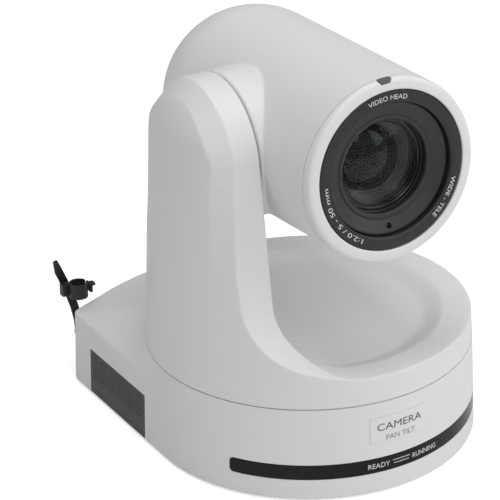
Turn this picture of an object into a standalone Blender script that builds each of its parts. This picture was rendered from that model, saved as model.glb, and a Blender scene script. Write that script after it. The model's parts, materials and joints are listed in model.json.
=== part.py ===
"""A pan-tilt-zoom video camera, modelled as separate parts.

Units are metres (MM converts millimetres), +Z is up and the lens looks along -Y.
The origin is on the pan axis, in the plane that the feet stand on.
"""

import math

import bmesh
import bpy
from mathutils import Matrix, Vector

MM = 0.001
GAP = 0.3 * MM          # left between neighbouring parts
MERGE = 0.00001         # merge distance of every Screw

# ---- driving dimensions ----------------------------------------------------
BASE_R = 90 * MM        # round front of the base, at its bottom edge
BASE_Z0 = 1.2 * MM      # bottom edge of the housing
BASE_Z1 = 53.5 * MM     # top edge, just under the turning part
DECK_Z = 40.5 * MM      # edge between the deck and the flat sides
DECK_RISE = 3 * MM      # how much higher that edge is at the rear
TOP_R = 88.6 * MM       # round top edge of the base
REAR_Y = 134 * MM       # middle of the bowed rear wall
REAR_R = 165 * MM       # radius of the bowed rear wall
CORNER_R = 5 * MM
WALL = 2.6 * MM

PAN_R = 88.4 * MM       # turning part, at its bottom edge
PAN_TOP_R = 81.8 * MM   # the same wall, at the height of the arm's top
PAN_Z0 = 54.1 * MM
RIM_Z = 69 * MM         # top of the disc's rim
DISH_R = 73 * MM
DISH_DEPTH = 4.5 * MM
SKIN = 2.4 * MM         # wall of the covers

TILT_Z = 175.7 * MM     # height of the tilt axis
ARM_R = 39.9 * MM       # half-round top of the arm, and the head's boss
ARM_X = -51.3 * MM      # inner face of the arm
ARM_SPLIT_Z = 104 * MM  # joint between the disc cover and the arm covers
CROWN_Z = 187.3 * MM    # height where the outer wall starts to curve in to the arm's top
CROWN_R = 31 * MM
CHAMFER_X = -66 * MM    # where the chamfer round the arm's top begins
CHAMFER_DEEP = 34       # how far outwards it is modelled, mm
CHAMFER_SLOPE = 0.62
CHAMFER_END = 132 * MM  # height where it has faded out
RIM_SPLIT_X = -37 * MM  # joint in the rim, between the disc cover and the arm cover

HEAD_R = 50.6 * MM      # barrel of the head
HEAD_FRONT_R = 49.0 * MM
DOME_Y = 52.3 * MM      # centre of the round rear end
BEZEL_Y = -76 * MM      # joint between the barrel and its front ring
FRONT_Y = -83.4 * MM
RING_R = 42.4 * MM      # black ring round the lens
HOOD_R = 35.3 * MM      # dark cone inside that ring
APERTURE_R = 24.6 * MM
TILT_REST = math.radians(4)     # the lens is raised a little in the stored pose

PULLEY_R = 34 * MM      # pan pulley on the spindle
PINION_R = 8 * MM       # pulley on the pan motor
PAN_MOTOR_Y = 60 * MM
TILT_PULLEY_R = 22 * MM
TILT_PINION_R = 5.5 * MM
TILT_MOTOR_Z = 84 * MM

ROUND = 48              # segments of a large circle
MIDDLE = 36             # segments of the head
TURNED = 24             # segments of bearings, motors and lens cells
FINE = 14               # segments of a small one


# ---- scene, materials ------------------------------------------------------
for stale in list(bpy.data.objects):
    bpy.data.objects.remove(stale)

parts = bpy.data.collections.new("ptz_camera")
cutters = bpy.data.collections.new("cutters")
bpy.context.scene.collection.children.link(parts)
bpy.context.scene.collection.children.link(cutters)


def material(name, colour, roughness, metallic=0.0):
    mat = bpy.data.materials.new(name)
    mat.use_nodes = True
    shader = mat.node_tree.nodes["Principled BSDF"]
    shader.inputs["Base Color"].default_value = (*colour, 1)
    shader.inputs["Roughness"].default_value = roughness
    shader.inputs["Metallic"].default_value = metallic
    return mat


WHITE = material("white_plastic", (0.80, 0.80, 0.80), 0.38)
BLACK_GLOSS = material("black_window", (0.012, 0.012, 0.014), 0.08)
BLACK = material("black_plastic", (0.02, 0.02, 0.022), 0.45)
GREY = material("dark_grey_plastic", (0.07, 0.07, 0.075), 0.5)
LABEL = material("label_film", (0.22, 0.24, 0.25), 0.45)
RUBBER = material("rubber", (0.03, 0.03, 0.03), 0.85)
STEEL = material("steel", (0.55, 0.56, 0.58), 0.3, 1.0)
ALUMINIUM = material("aluminium", (0.62, 0.63, 0.65), 0.4, 1.0)
PLATED = material("nickel_plating", (0.66, 0.65, 0.62), 0.25, 1.0)
BOARD = material("circuit_board", (0.02, 0.16, 0.07), 0.4)
GLASS = material("coated_glass", (0.05, 0.07, 0.07), 0.03)
LAMP = material("lamp_lens", (0.75, 0.78, 0.72), 0.2)


# ---- making and cutting ----------------------------------------------------
def put(mesh, name, mat=None, collection=parts):
    obj = bpy.data.objects.new(name, mesh)
    collection.objects.link(obj)
    if mat:
        mesh.materials.append(mat)
    return obj


def from_bmesh(bm, name, mat=None, collection=parts):
    bmesh.ops.recalc_face_normals(bm, faces=bm.faces)
    mesh = bpy.data.meshes.new(name)
    bm.to_mesh(mesh)
    bm.free()
    return put(mesh, name, mat, collection)


def freeze(obj):
    """Apply the object's modifiers to its mesh."""
    graph = bpy.context.evaluated_depsgraph_get()
    mesh = bpy.data.meshes.new_from_object(obj.evaluated_get(graph))
    obj.modifiers.clear()
    obj.data = mesh
    return obj


def combine(obj, other, operation):
    """Boolean with another object, which is used up."""
    mod = obj.modifiers.new("boolean", "BOOLEAN")
    mod.operation = operation
    mod.solver = "EXACT"
    mod.object = other
    freeze(obj)
    bpy.data.objects.remove(other)
    return obj


def cut(obj, *others):
    for other in others:
        combine(obj, other, "DIFFERENCE")
    return obj


def join(obj, *others):
    for other in others:
        combine(obj, other, "UNION")
    return obj


def keep(obj, other):
    return combine(obj, other, "INTERSECT")


def copy(obj, name):
    twin = obj.copy()
    twin.data = obj.data.copy()
    twin.name = name
    cutters.objects.link(twin)
    return twin


def smooth(obj, angle=35):
    obj.data.shade_smooth()
    obj.data.set_sharp_from_angle(angle=math.radians(angle))
    return obj


def place(obj, at=(0, 0, 0), axis="Z"):
    """Turn a solid made round Z so that it lies round axis, and move it."""
    turn = {
        "Z": Matrix(),
        "X": Matrix.Rotation(math.pi / 2, 4, "Y"),
        "Y": Matrix.Rotation(-math.pi / 2, 4, "X"),
    }[axis]
    obj.data.transform(Matrix.Translation(at) @ turn)
    return obj


def pivot_at(obj, at):
    """Move an object's origin to a point in millimetres, leaving its shape where it is."""
    spot = Vector(at) * MM
    obj.data.transform(Matrix.Translation(-spot))
    obj.location = spot
    return obj


def box(name, low, high, mat=None, bevel=0.0, collection=parts):
    """A box between two corners, in millimetres."""
    low = Vector(low) * MM
    high = Vector(high) * MM
    bm = bmesh.new()
    bmesh.ops.create_cube(bm, size=1)
    bmesh.ops.scale(bm, vec=high - low, verts=bm.verts)
    bmesh.ops.translate(bm, vec=(low + high) / 2, verts=bm.verts)
    if bevel:
        bmesh.ops.bevel(bm, geom=bm.edges, offset=bevel * MM, segments=2, profile=0.5, affect="EDGES")
    return from_bmesh(bm, name, mat, collection)


def rod(name, radius, start, end, at=(0, 0), axis="Z", mat=None, sides=FINE, collection=parts):
    """A cylinder along an axis from start to end, in millimetres, at the two other coordinates."""
    bm = bmesh.new()
    bmesh.ops.create_cone(
        bm, cap_ends=True, segments=sides, radius1=radius * MM, radius2=radius * MM, depth=(end - start) * MM
    )
    obj = smooth(from_bmesh(bm, name, mat, collection))
    middle = (start + end) / 2 * MM
    first, second = at[0] * MM, at[1] * MM
    where = {"X": (middle, first, second), "Y": (first, middle, second), "Z": (first, second, middle)}[axis]
    return place(obj, where, axis)


def turned(name, profile, at=(0, 0, 0), axis="Z", mat=None, steps=ROUND, collection=parts):
    """A closed profile of (radius, height) in millimetres, turned round an axis.

    The profile runs down its outer side. One that starts and ends at radius 0 is left open there.
    """
    points = [(r * MM, 0, h * MM) for r, h in profile]
    count = len(points)
    on_axis = profile[0][0] == 0 and profile[-1][0] == 0
    edges = [(i, i + 1) for i in range(count - 1)]
    if not on_axis:
        edges.append((count - 1, 0))
    mesh = bpy.data.meshes.new(name)
    mesh.from_pydata(points, edges, [])
    obj = put(mesh, name, None, collection)
    screw = obj.modifiers.new("screw", "SCREW")
    screw.steps = steps
    screw.render_steps = steps
    screw.use_merge_vertices = True
    screw.merge_threshold = MERGE
    screw.use_normal_calculate = True
    freeze(obj)
    bm = bmesh.new()
    bm.from_mesh(obj.data)
    bmesh.ops.remove_doubles(bm, verts=bm.verts, dist=MERGE)
    bmesh.ops.recalc_face_normals(bm, faces=bm.faces)
    bm.to_mesh(obj.data)
    bm.free()
    if mat:
        obj.data.materials.append(mat)
    smooth(obj)
    return place(obj, [c * MM for c in at], axis)


def prism(name, outline, low, high, axis="Z", mat=None, collection=parts):
    """An outline (metres, two coordinates) extruded along an axis between two heights."""
    bm = bmesh.new()
    spot = {
        "Z": lambda a, b, h: (a, b, h),
        "Y": lambda a, b, h: (a, h, b),
        "X": lambda a, b, h: (h, a, b),
    }[axis]
    face = bm.faces.new([bm.verts.new(spot(a, b, low)) for a, b in outline])
    along = {"X": (1, 0, 0), "Y": (0, 1, 0), "Z": (0, 0, 1)}[axis]
    grown = bmesh.ops.extrude_face_region(bm, geom=[face])
    moved = [v for v in grown["geom"] if isinstance(v, bmesh.types.BMVert)]
    bmesh.ops.translate(bm, vec=Vector(along) * (high - low), verts=moved)
    bmesh.ops.triangulate(bm, faces=[f for f in bm.faces if len(f.verts) > 4])
    return from_bmesh(bm, name, mat, collection)


def hull(name, points, mat=None, collection=parts):
    """The convex solid round a cloud of points."""
    bm = bmesh.new()
    for point in points:
        bm.verts.new(point)
    result = bmesh.ops.convex_hull(bm, input=bm.verts)
    inside = [g for g in result["geom_interior"] if isinstance(g, bmesh.types.BMVert)]
    bmesh.ops.delete(bm, geom=inside, context="VERTS")
    bmesh.ops.delete(bm, geom=[v for v in bm.verts if not v.link_faces], context="VERTS")
    return from_bmesh(bm, name, mat, collection)


def arc(centre, radius, start, end, steps):
    """Points on an arc, from start to end in degrees."""
    angles = [math.radians(start + (end - start) * i / steps) for i in range(steps + 1)]
    return [(centre[0] + radius * math.cos(a), centre[1] + radius * math.sin(a)) for a in angles]


def circle(radius, steps, centre=(0, 0)):
    """Points round a whole circle, none of them twice."""
    return arc(centre, radius, 0, 360 - 360 / steps, steps - 1)


def arc_plate(name, outer, thickness, low, high, half_angle, mat=None, collection=parts):
    """A curved plate on the front of the base. outer is its radius as a function of height."""
    steps = max(8, round(half_angle / 2.5))
    ring = []
    for height in (low, high):
        r = outer(height)
        facing = arc((0, 0), r, -90 - half_angle, -90 + half_angle, steps)
        backing = arc((0, 0), r - thickness, -90 + half_angle, -90 - half_angle, steps)
        ring.append([(x, y, height) for x, y in facing + backing])
    bm = bmesh.new()
    loops = [[bm.verts.new(p) for p in points] for points in ring]
    count = len(loops[0])
    for i in range(count):
        j = (i + 1) % count
        bm.faces.new((loops[0][i], loops[0][j], loops[1][j], loops[1][i]))
    half = count // 2
    for loop in loops:
        for i in range(half - 1):
            bm.faces.new((loop[i], loop[i + 1], loop[count - 2 - i], loop[count - 1 - i]))
    return from_bmesh(bm, name, mat, collection)


def toothed(name, tip, teeth, bore, start, end, at=(0, 0, 0), axis="Z", mat=None):
    """A toothed belt pulley, sizes in millimetres. Its thickness runs from start to end."""
    points = []
    for i in range(teeth):
        for step, radius in ((0.0, tip - 1), (0.2, tip), (0.5, tip), (0.7, tip - 1)):
            angle = 2 * math.pi * (i + step) / teeth
            points.append((radius * MM * math.cos(angle), radius * MM * math.sin(angle)))
    wheel = prism(name, points, start * MM, end * MM, "Z", mat)
    if bore:
        cut(wheel, rod("bore", bore, start - 1, end + 1, collection=cutters))
    return place(wheel, [c * MM for c in at], axis)


def belt(name, first, first_r, second, second_r, thick, start, end, axis, mat):
    """A flat belt round two wheels whose centres are given in the plane across the axis."""
    sides = 18
    clear = 1 / math.cos(math.pi / sides)

    def band(grow, low, high, label, where):
        points = []
        for centre, radius in ((first, first_r), (second, second_r)):
            for a, b in circle((radius + grow) * clear * MM, sides, [c * MM for c in centre]):
                for h in (low * MM, high * MM):
                    points.append((h, a, b) if axis == "X" else (a, b, h))
        return hull(label, points, mat, where)

    return cut(band(thick, start, end, name, parts), band(0, start - 1, end + 1, "inside", cutters))


# ---- base ------------------------------------------------------------------
def base_radius(height):
    """Radius of the round front of the base at a height: the wall leans in a little."""
    lean = (BASE_R - TOP_R) / (BASE_Z1 - BASE_Z0)
    return BASE_R - lean * (height - BASE_Z0)


def base_outline(inset):
    """Plan of the base: half-round front, flat sides, bowed rear with rounded corners."""
    side = BASE_R - inset
    rear = REAR_R - inset
    centre_y = REAR_Y - REAR_R
    front = arc((0, 0), side, 180, 360, ROUND // 2)
    round_r = CORNER_R
    inner_y = centre_y + math.sqrt((rear - round_r) ** 2 - (side - round_r) ** 2)
    end = math.degrees(math.atan2(inner_y - centre_y, side - round_r))
    flat = [(side, side * math.tan(math.radians(7.5 * i))) for i in range(1, 7)]
    corner = arc((side - round_r, inner_y), round_r, 0, end, 4)
    bow = arc((0, centre_y), rear, end, 180 - end, 14)[1:-1]
    other = arc((round_r - side, inner_y), round_r, 180 - end, 180, 4)
    return front + flat + corner + bow + other + [(-x, y) for x, y in reversed(flat)]


def deck_edge(y):
    return DECK_Z + DECK_RISE * max(0.0, y) / REAR_Y


def base_form(inset, name, collection, low=None):
    """The base's outer form, or its inside at an inset: upright walls, and a deck up to the round top."""
    low = BASE_Z0 if low is None else low
    lean = BASE_R - base_radius(DECK_Z)
    top = TOP_R - inset
    rings = [
        [(x, y, low) for x, y in base_outline(inset)],
        [(x, y, deck_edge(y) - inset) for x, y in base_outline(inset + lean)],
        [(top * x / math.hypot(x, y), top * y / math.hypot(x, y), BASE_Z1 - inset)
         for x, y in base_outline(inset + lean)],
    ]
    bm = bmesh.new()
    loops = [[bm.verts.new(p) for p in ring] for ring in rings]
    for lower, upper in zip(loops, loops[1:]):
        for i in range(len(lower)):
            j = (i + 1) % len(lower)
            bm.faces.new((lower[i], lower[j], upper[j], upper[i]))
    bm.faces.new(loops[0])
    bm.faces.new(loops[-1])
    bmesh.ops.triangulate(bm, faces=bm.faces)
    return from_bmesh(bm, name, WHITE, collection)


WINDOW_LOW = 12.9 * MM
WINDOW_HIGH = 21.2 * MM
WINDOW_ANGLE = 59       # half of the angle that the dark window covers
BADGE_LOW = 30 * MM
BADGE_HIGH = 45 * MM
BADGE_ANGLE = 11.4
LABEL_LEAN = math.atan2(BASE_R - base_radius(DECK_Z), DECK_Z - BASE_Z0)


def side_plate(name, grow, out, depth, mat, collection):
    """A thin plate against the leaning left wall. out is how far it stands out of the wall."""
    plate = box(name, (-out - depth, -grow, -grow), (-out, 63 + grow, 26 + grow), mat, 0, collection)
    plate.data.transform(Matrix.Scale(-1, 4, (1, 0, 0)))
    plate.data.flip_normals()
    turn = Matrix.Rotation(LABEL_LEAN, 4, "Y")
    wall = (-BASE_R + math.tan(LABEL_LEAN) * (2.2 * MM - BASE_Z0), 24 * MM, 2.2 * MM)
    plate.data.transform(Matrix.Translation(wall) @ turn)
    return plate


def make_base():
    housing = base_form(0, "base_housing", parts)
    cut(
        housing,
        base_form(WALL, "inside", cutters, low=-5 * MM),
        rod("spindle_opening", 60, 40, 60, sides=ROUND, collection=cutters),
        box("panel_window", (-61, 105, 7), (61, 140, 36), collection=cutters),
        arc_plate(
            "window_pocket", lambda z: base_radius(z) + 3 * MM, 5 * MM,
            WINDOW_LOW - GAP, WINDOW_HIGH + GAP, WINDOW_ANGLE + 0.2, None, cutters,
        ),
        arc_plate(
            "badge_pocket", lambda z: base_radius(z) + 3 * MM, 4 * MM,
            BADGE_LOW - GAP, BADGE_HIGH + GAP, BADGE_ANGLE + 0.2, None, cutters,
        ),
        side_plate("label_pocket", 0.3, -0.7, 3, None, cutters),
        rod("anchor_hole", 2.3, 100, 125, at=(-78, 21), axis="Y", collection=cutters),
    )
    smooth(housing, 25)

    window = arc_plate(
        "front_window", base_radius, 1.6 * MM, WINDOW_LOW, WINDOW_HIGH, WINDOW_ANGLE, BLACK_GLOSS
    )
    cut(window, box("lamp_slot", (-6.3, -95, 15.4), (6.3, -80, 18.8), collection=cutters))
    smooth(window)
    arc_plate("status_lamp", base_radius, 1.6 * MM, 15.7 * MM, 18.5 * MM, 3.8, LAMP)
    arc_plate(
        "badge_plate", lambda z: base_radius(z) + 0.2 * MM, 0.9 * MM, BADGE_LOW, BADGE_HIGH, BADGE_ANGLE, WHITE
    )
    side_plate("rating_label", 0, -0.4, 0.45, LABEL, parts)

    plate = prism("base_plate", base_outline(3.2 * MM), 1.8 * MM, 3.6 * MM, "Z", ALUMINIUM)
    join(
        plate,
        rod("seat_boss", 15, 0, 2.5, collection=cutters),
        rod("thread_boss", 7.5, 0, 9, at=(0, -36), collection=cutters),
    )
    cut(plate, rod("tripod_hole", 3.1, -1, 7.5, at=(0, -36), collection=cutters))
    for x in (-40, -25, 25, 40):
        cut(plate, box("vent", (x - 1.5, 62, 0), (x + 1.5, 84, 5), collection=cutters))
    for x, y in ((-30, -62), (30, -62), (-30, 20), (30, 20)):
        cut(plate, rod("bracket_hole", 2, 0, 5, at=(x, y), sides=16, collection=cutters))
    for side, x in (("left", -1), ("right", 1)):
        rod(f"foot_front_{side}", 8, 0, 1.5, at=(x * 56, -48), mat=RUBBER)
        rod(f"foot_rear_{side}", 8, 0, 1.5, at=(x * 70, 92), mat=RUBBER)


CLAMP_LOOP = (-82, 113.6, 52)   # middle of the cable loop, mm
PANEL_Y = 116           # rear face of the connector panel, mm
BNC_X = (50, 34, 18)
SOCKET_Z = 21


def make_rear_panel():
    panel = box("rear_panel", (-63, PANEL_Y - 2, 5.6), (63, 140, 37.4), WHITE)
    cut(panel, box("tray", (-60.5, PANEL_Y, 8), (60.5, 150, 35), collection=cutters))
    inside = base_form(WALL + GAP, "inside", cutters, low=-5 * MM)
    keep(panel, inside)
    for x in BNC_X:
        cut(panel, rod("bnc_hole", 5, 110, 120, at=(x, SOCKET_Z), axis="Y", sides=24, collection=cutters))
    for low, high in (((-7, 110, 16.7), (10, 120, 24)), ((-24.6, 110, 12.7), (-7.8, 120, 28.3)),
                      ((-43.1, 110, 12.7), (-26.3, 120, 28.3)), ((-3.5, 110, 10.2), (6.5, 120, 14.2))):
        cut(panel, box("socket_hole", low, high, collection=cutters))
    cut(
        panel,
        rod("audio_hole", 3.3, 110, 120, at=(1.5, 30), axis="Y", sides=20, collection=cutters),
        rod("dc_hole", 5.6, 110, 120, at=(-52, SOCKET_Z), axis="Y", sides=24, collection=cutters),
    )

    names = ("bnc_genlock", "bnc_sdi_second", "bnc_sdi_first")
    for name, x in zip(names, BNC_X):
        jack = turned(
            name,
            [(0, 26), (1.0, 26), (1.0, 9), (3.9, 9), (3.9, 34), (4.8, 34), (4.8, 9), (6.6, 9), (6.6, 6.6),
             (4.7, 6.6), (4.7, 0), (0, 0)],
            at=(x, PANEL_Y - 6.3, SOCKET_Z), axis="Y", mat=PLATED, steps=FINE + 2,
        )
        for side in (-1, 1):
            low, high = sorted((x + side * 4.2, x + side * 6))
            join(jack, rod("lug", 0.9, low, high, (PANEL_Y + 22, SOCKET_Z), "X", sides=8, collection=cutters))

    hdmi = box("hdmi_socket", (-6.7, 106, 17), (9.7, 121, 23.7), STEEL)
    cut(hdmi, box("mouth", (-6.1, 110, 17.6), (9.1, 125, 23.1), collection=cutters))
    join(hdmi, box("tongue", (-4, 109, 19.6), (7, 119.5, 20.6), collection=cutters))
    for name, low, high in (("lan_socket", -24.3, -8.1), ("control_socket", -42.8, -26.6)):
        middle = (low + high) / 2
        jack = box(name, (low, 104, 13), (high, 118.5, 28), STEEL)
        cut(
            jack,
            box("mouth", (middle - 6, 106, 15), (middle + 6, 125, 23.5), collection=cutters),
            box("latch_mouth", (middle - 2.6, 112, 23), (middle + 2.6, 125, 26.5), collection=cutters),
        )
    jack = rod("audio_jack", 3, 104, 118.5, at=(1.5, 30), axis="Y", mat=BLACK)
    cut(jack, rod("mouth", 1.8, 108, 120, at=(1.5, 30), axis="Y", sides=20, collection=cutters))
    inlet = rod("dc_inlet", 5.3, 104, 120.5, at=(-52, SOCKET_Z), axis="Y", mat=BLACK)
    cut(inlet, rod("mouth", 3.9, 108, 125, at=(-52, SOCKET_Z), axis="Y", sides=24, collection=cutters))
    join(inlet, rod("pin", 1, 107, 119, at=(-52, SOCKET_Z), axis="Y", sides=12, collection=cutters))
    box("select_switch", (-2.9, 113, 10.7), (0.3, 118.2, 13.7), BLACK, 0.3)


STRAP_ROUTE = [(-78, 123, 19.5), (-78.6, 123, 28), (-80.6, 122.6, 37), (-83.6, 122.2, 46), (-87, 121.8, 55),
               (-90, 121.4, 62), (-92, 121, 69)]


def make_cable_clamp():
    """A releasable tie pushed into the rear corner: anchor, strap, and a loop with its latch."""
    anchor = rod("clamp_anchor", 2.0, 105, 118, at=(-78, 21), axis="Y", mat=BLACK)
    join(anchor, rod("stop", 4.2, 117.3, 119.2, at=(-78, 21), axis="Y", collection=cutters))

    bm = bmesh.new()
    rings = []
    for i, (x, y, z) in enumerate(STRAP_ROUTE):
        before = Vector(STRAP_ROUTE[max(0, i - 1)])
        after = Vector(STRAP_ROUTE[min(len(STRAP_ROUTE) - 1, i + 1)])
        along = (after - before).normalized()
        across = along.cross(Vector((0, 1, 0))).normalized() * (1.2 if i == len(STRAP_ROUTE) - 1 else 2.3)
        flat = Vector((0, 0.8, 0))
        middle = Vector((x, y, z))
        corners = [middle + across + flat, middle - across + flat, middle - across - flat, middle + across - flat]
        rings.append([bm.verts.new(c * MM) for c in corners])
    for lower, upper in zip(rings, rings[1:]):
        for i in range(4):
            j = (i + 1) % 4
            bm.faces.new((lower[i], lower[j], upper[j], upper[i]))
    bm.faces.new(rings[0])
    bm.faces.new(rings[-1])
    strap = from_bmesh(bm, "clamp_strap", BLACK)
    join(strap, rod("root", 3.2, 119.5, 123, at=(-78, 21), axis="Y", collection=cutters))

    x, y, z = CLAMP_LOOP
    loop = turned("clamp_loop", [(5.4, 4.2), (5.4, -4.2), (4.3, -4.2), (4.3, 4.2)], (x, y, z), mat=BLACK, steps=24)
    join(loop, box("buckle", (x - 8.6, y + 2, z - 3.6), (x - 3.4, y + 6.2, z + 3.4), collection=cutters))
    cut(
        loop,
        rod("bore", 4.3, z - 6, z + 6, at=(x, y), sides=24, collection=cutters),
        box("mouth", (x + 2.6, y - 1.4, z - 6), (x + 8, y + 1.4, z + 6), collection=cutters),
    )
    latch = box("clamp_latch", (x + 5.8, y - 3.6, z - 2.2), (x + 7.4, y + 2.6, z + 2.8), BLACK, 0.3)
    join(latch, box("tab", (x + 6.4, y - 2.2, z + 1), (x + 9.6, y + 1.4, z + 2.6), collection=cutters))
    pivot_at(latch, (x + 6.6, y - 3.4, z))


def make_drive():
    chassis = rod("pan_chassis", 58, 16, 19, mat=ALUMINIUM, sides=ROUND)
    join(
        chassis,
        box("motor_ear", (-22, 40, 16), (22, 80, 19), collection=cutters),
        rod("bearing_housing", 21, 18, 38, sides=TURNED, collection=cutters),
    )
    for x in (-36, 36):
        for y in (-36, 36):
            join(chassis, rod("leg", 4, 3.9, 17, at=(x, y), sides=20, collection=cutters))
    cut(
        chassis,
        rod("bearing_bore", 17.5, 25, 45, sides=TURNED, collection=cutters),
        rod("cable_bore", 12.5, 10, 45, sides=TURNED, collection=cutters),
        rod("motor_bore", 6, 10, 25, at=(0, 60), collection=cutters),
    )
    turned("pan_bearing", [(17.2, 36), (17.2, 26), (10.8, 26), (10.8, 36)][::-1], mat=STEEL, steps=TURNED)
    turned(
        "pan_spindle",
        [(24, 53.8), (24, 51), (10.5, 51), (10.5, 14), (7, 14), (7, 53.8)], mat=ALUMINIUM, steps=TURNED,
    )
    toothed("pan_pulley", PULLEY_R / MM, 26, 10.8, 43.5, 50.6, mat=BLACK)
    motor = rod("pan_motor", 17.5, 19.3, 40, at=(0, 60), mat=STEEL, sides=TURNED)
    join(motor, rod("shaft", 2.2, 39, 50, at=(0, 60), sides=20, collection=cutters))
    pinion = toothed("pan_motor_pulley", PINION_R / MM, 8, 2.5, 43.5, 50, mat=BLACK)
    pinion.location = (0, PAN_MOTOR_Y, 0)
    belt("pan_belt", (0, 0), 34.3, (0, 60), 8.3, 1.2, 44.2, 49.6, "Z", RUBBER)
    board = box("main_board", (-58, 42, 7), (58, 108, 8.6), BOARD)
    for low, high in (((-50, 50, 8), (-30, 70, 11)), ((-20, 82, 8), (0, 100, 10.6)), ((22, 84, 8), (48, 100, 12)),
                      ((26, 50, 8), (40, 64, 10.4)), ((-52, 80, 8), (-34, 100, 10.2))):
        join(board, box("chip", low, high, collection=cutters))
    for x, y in ((-8, 50), (6, 50), (52, 60), (52, 74)):
        join(board, rod("capacitor", 4, 8, 13.6, at=(x, y), sides=20, collection=cutters))


# ---- turning part ----------------------------------------------------------
FLARE_R = 46 * MM       # fillet between the arm's front edge and the disc
FLARE_Y = 95.5 * MM     # centre of that fillet, from the pan axis
INNER_R = 34 * MM       # fillet between the arm's inner face and the disc


def arm_lean():
    """Angle by which the arm's front and rear edges widen downwards."""
    return math.atan2(FLARE_Y - FLARE_R - ARM_R, TILT_Z - RIM_Z - FLARE_R)


def wall_radius(z):
    """Outer wall of the turning part: it leans in a little, and curves in at the arm's top."""
    slope = (PAN_R - PAN_TOP_R) / (TILT_Z + ARM_R - PAN_Z0)
    return PAN_R - slope * (z - PAN_Z0) - max(0.0, z - CROWN_Z) ** 2 / (2 * CROWN_R)


def side_profile(inset):
    """Side view of the turning part, as (y, z): disc, flared arm and its half-round top."""
    low = PAN_Z0 - 10 * MM
    reach = 100 * MM
    rim = RIM_Z - inset
    centre_z = RIM_Z + FLARE_R
    flare = FLARE_R + inset
    lean = arm_lean()
    top = arc((0, TILT_Z), ARM_R - inset, math.degrees(lean), 180 - math.degrees(lean), 20)
    right = arc((FLARE_Y, centre_z), flare, 270, 180 + math.degrees(lean), 8)
    left = [(-y, z) for y, z in reversed(right)]
    return [(-reach, low), (reach, low), (reach, rim)] + right + top + left + [(-reach, rim)]


def inner_cut(inset):
    """Front view of what is cut away beside the arm, as (x, z)."""
    x = ARM_X - inset
    z = RIM_Z - inset - 0.4 * MM
    r = INNER_R + inset
    corner = arc((x + r, z + r), r, 180, 270, 8)
    return [(x, 260 * MM)] + corner + [(120 * MM, z), (120 * MM, 260 * MM)]


def pan_form(inset, name):
    """The turning part's outer form, or its inside at an inset."""
    low = PAN_Z0 - (5 * MM if inset else 0)
    shift = inset / MM
    heights = [CROWN_Z + 44 * MM * t for t in (1, 0.6, 0.45, 0.3, 0.15, 0)] + [low]
    outline = [(wall_radius(z) / MM - shift, z / MM) for z in heights]
    wall = turned(name, [(0, outline[0][1])] + outline + [(0, low / MM)], collection=cutters)
    keep(wall, prism("side", side_profile(inset), -130 * MM, 130 * MM, "X", None, cutters))
    cut(wall, prism("beside", inner_cut(inset), -130 * MM, 130 * MM, "Y", None, cutters))
    rim = RIM_Z / MM - shift
    depth = DISH_DEPTH / MM
    edge = DISH_R / MM + (1 if inset else 0)
    dish = turned(
        "dish",
        [(0, rim + 10), (edge, rim + 10), (edge, rim - 1), (edge - 14, rim - depth * 0.7), (edge - 40, rim - depth),
         (0, rim - depth)],
        collection=cutters,
    )
    keep(dish, box("right_of_arm", (-50.8 - shift, -120, 40), (120, 120, 120), collection=cutters))
    cut(wall, dish)
    cut(wall, chamfer_form(shift))
    return wall


def chamfer_form(shift):
    """What the chamfer round the arm's outer edge takes away. It fades out below the tilt axis."""
    radius = ARM_R / MM - shift + 0.12
    kept = []
    for x in (CHAMFER_X / MM + 1, CHAMFER_X / MM - CHAMFER_DEEP):
        arch = arc((0, TILT_Z / MM), radius - CHAMFER_SLOPE * (CHAMFER_X / MM - x), 0, 180, 24)
        kept += [(x * MM, y * MM, z * MM) for y, z in arch]
        kept += [(x * MM, side * 60 * MM, CHAMFER_END / 2) for side in (-1, 1)]
        kept += [(x * MM, side * (radius + 8.6) * MM, CHAMFER_END) for side in (-1, 1)]
    low, high = CHAMFER_END / MM + 0.2, TILT_Z / MM + 100
    away = box("chamfer", (-200, -200, low), (CHAMFER_X / MM, 200, high), collection=cutters)
    return cut(away, hull("kept", kept, None, cutters))


def lean_cone(inset, name):
    """A solid with the leaning lower wall of the turning part, at an inset in millimetres."""
    low, high = PAN_Z0 / MM - 10, 120
    outline = [(wall_radius(z * MM) / MM - inset, z) for z in (high, low)]
    return turned(name, [(0, high)] + outline + [(0, low)], collection=cutters)


def make_pan_covers():
    shell = pan_form(0, "shell")
    cut(shell, pan_form(SKIN, "inside"))
    bore = rod("shaft_hole", 12, -56, -49, at=(0, TILT_Z / MM), axis="X", collection=cutters)
    cut(shell, bore)
    split = ARM_SPLIT_Z / MM
    inner_x = (ARM_X - SKIN) / MM
    skin = SKIN / MM

    inner = copy(shell, "arm_cover_inner")
    keep(inner, box("above", (inner_x + 0.2, -200, split + 0.15), (200, 200, 300), collection=cutters))

    def wall_region(offset, x):
        region = box("wall_region", (-200, -200, 0), (x, 200, split + 2), collection=cutters)
        return cut(region, lean_cone(skin + offset, "core"))

    outer = copy(shell, "arm_cover_outer")
    region = box("above", (-200, -200, split + 0.15), (inner_x - 0.1, 200, 300), collection=cutters)
    join(region, wall_region(0.1, RIM_SPLIT_X / MM - 0.15))
    keep(outer, region)

    disc = copy(shell, "disc_cover")
    keep(disc, box("below", (-200, -200, 0), (200, 200, split - 0.15), collection=cutters))
    cut(disc, wall_region(0.4, RIM_SPLIT_X / MM + 0.15))

    bpy.data.objects.remove(shell)
    for obj in (inner, outer, disc):
        cutters.objects.unlink(obj)
        parts.objects.link(obj)
        obj.data.materials.clear()
        obj.data.materials.append(WHITE)
        smooth(obj, 25)


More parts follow.
